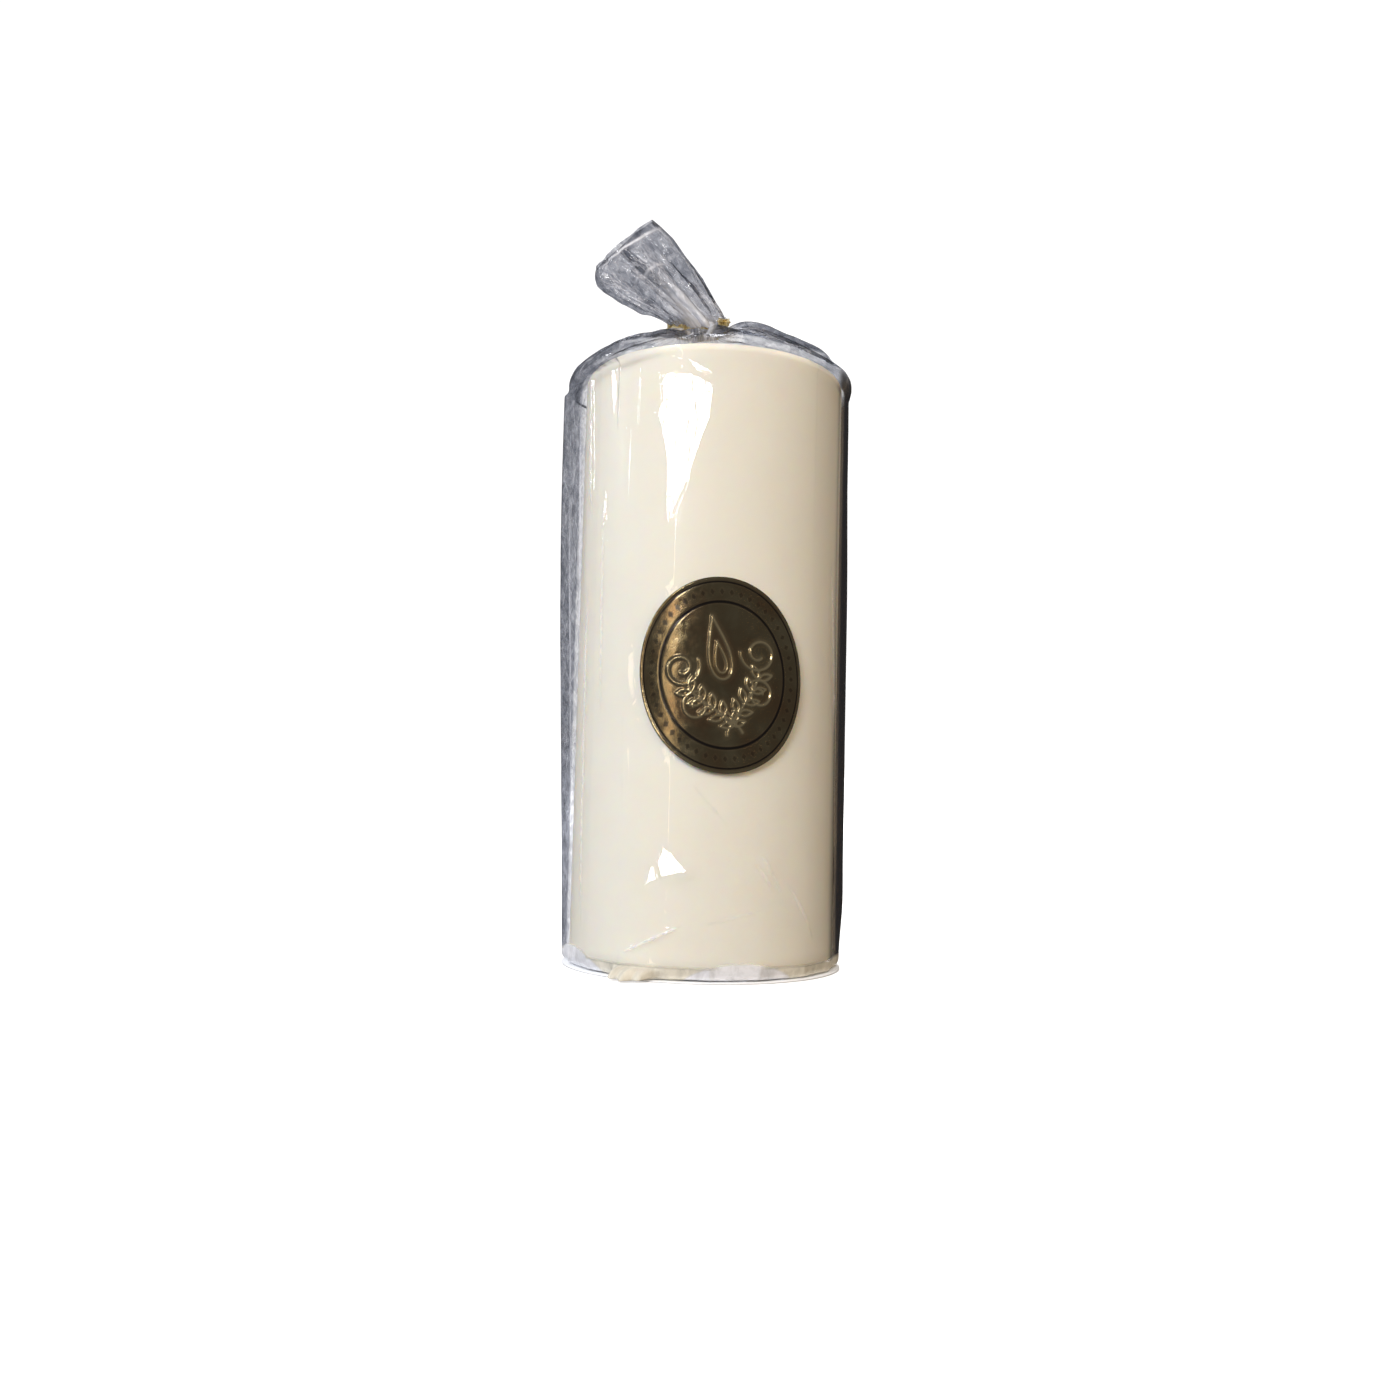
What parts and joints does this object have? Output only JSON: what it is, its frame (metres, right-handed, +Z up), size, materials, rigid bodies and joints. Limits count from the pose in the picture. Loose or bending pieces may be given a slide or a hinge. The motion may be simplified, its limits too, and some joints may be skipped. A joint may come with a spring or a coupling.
{
  "type": "unity candle",
  "caption": "Ivory pillar wedding candle in a clear film bag gathered over its top and closed with a gold twist tie, with an oval foil label on the front.",
  "frame": {"origin": "centre of the base label's flat underside, on the candle's axis, where the candle stands", "axes": "+Z up along the candle, -Y towards the front that carries the foil label, +X to the right seen from the front"},
  "size_m": [0.0767, 0.0726, 0.199],
  "materials": {
    "wax_coat": "smooth ivory wax with a soft satin sheen, slightly translucent",
    "wax_core": "plain softer ivory wax, dull",
    "wick_cotton": "braided cotton, lightly waxed",
    "tinplate": "stamped tinplate",
    "clear_film": "crisp clear packaging film with creases, glossy",
    "gold_ribbon": "metallised gold twist tie, glossy and finely creased",
    "tie_steel": "soft annealed wire",
    "bronze_foil": "embossed bronze-coloured foil, glossy",
    "white_paper": "white coated label paper"
  },
  "bodies": {
    "root": {"wax_coat": "wax_coat", "wax_core": "wax_core", "wick": "wick_cotton", "wick_tab": "tinplate", "film_sleeve": "clear_film", "film_back_seam": "clear_film", "film_bottom_seal": "clear_film", "film_corner_ear": "clear_film", "tie_ribbon": "gold_ribbon", "tie_wire": "tie_steel", "foil_label": "bronze_foil", "base_label": "white_paper"},
    "tail": {"film_tail": "clear_film"},
    "tie_ends": {"tie_strand_a": "gold_ribbon", "tie_strand_b": "gold_ribbon"}
  },
  "joints": [
    {"name": "tail_fold", "type": "hinge", "parent": "root", "child": "tail", "pos_m": [-0.005, 0, 0.1738], "axis": [0, 1, 0], "range_deg": [-12, 105]},
    {"name": "tie_twist", "type": "hinge", "parent": "root", "child": "tie_ends", "pos_m": [0.00124, -0.00398, 0.1683], "axis": [0.1527, -0.9671, -0.2036], "range_deg": [-720, 90]}
  ]
}
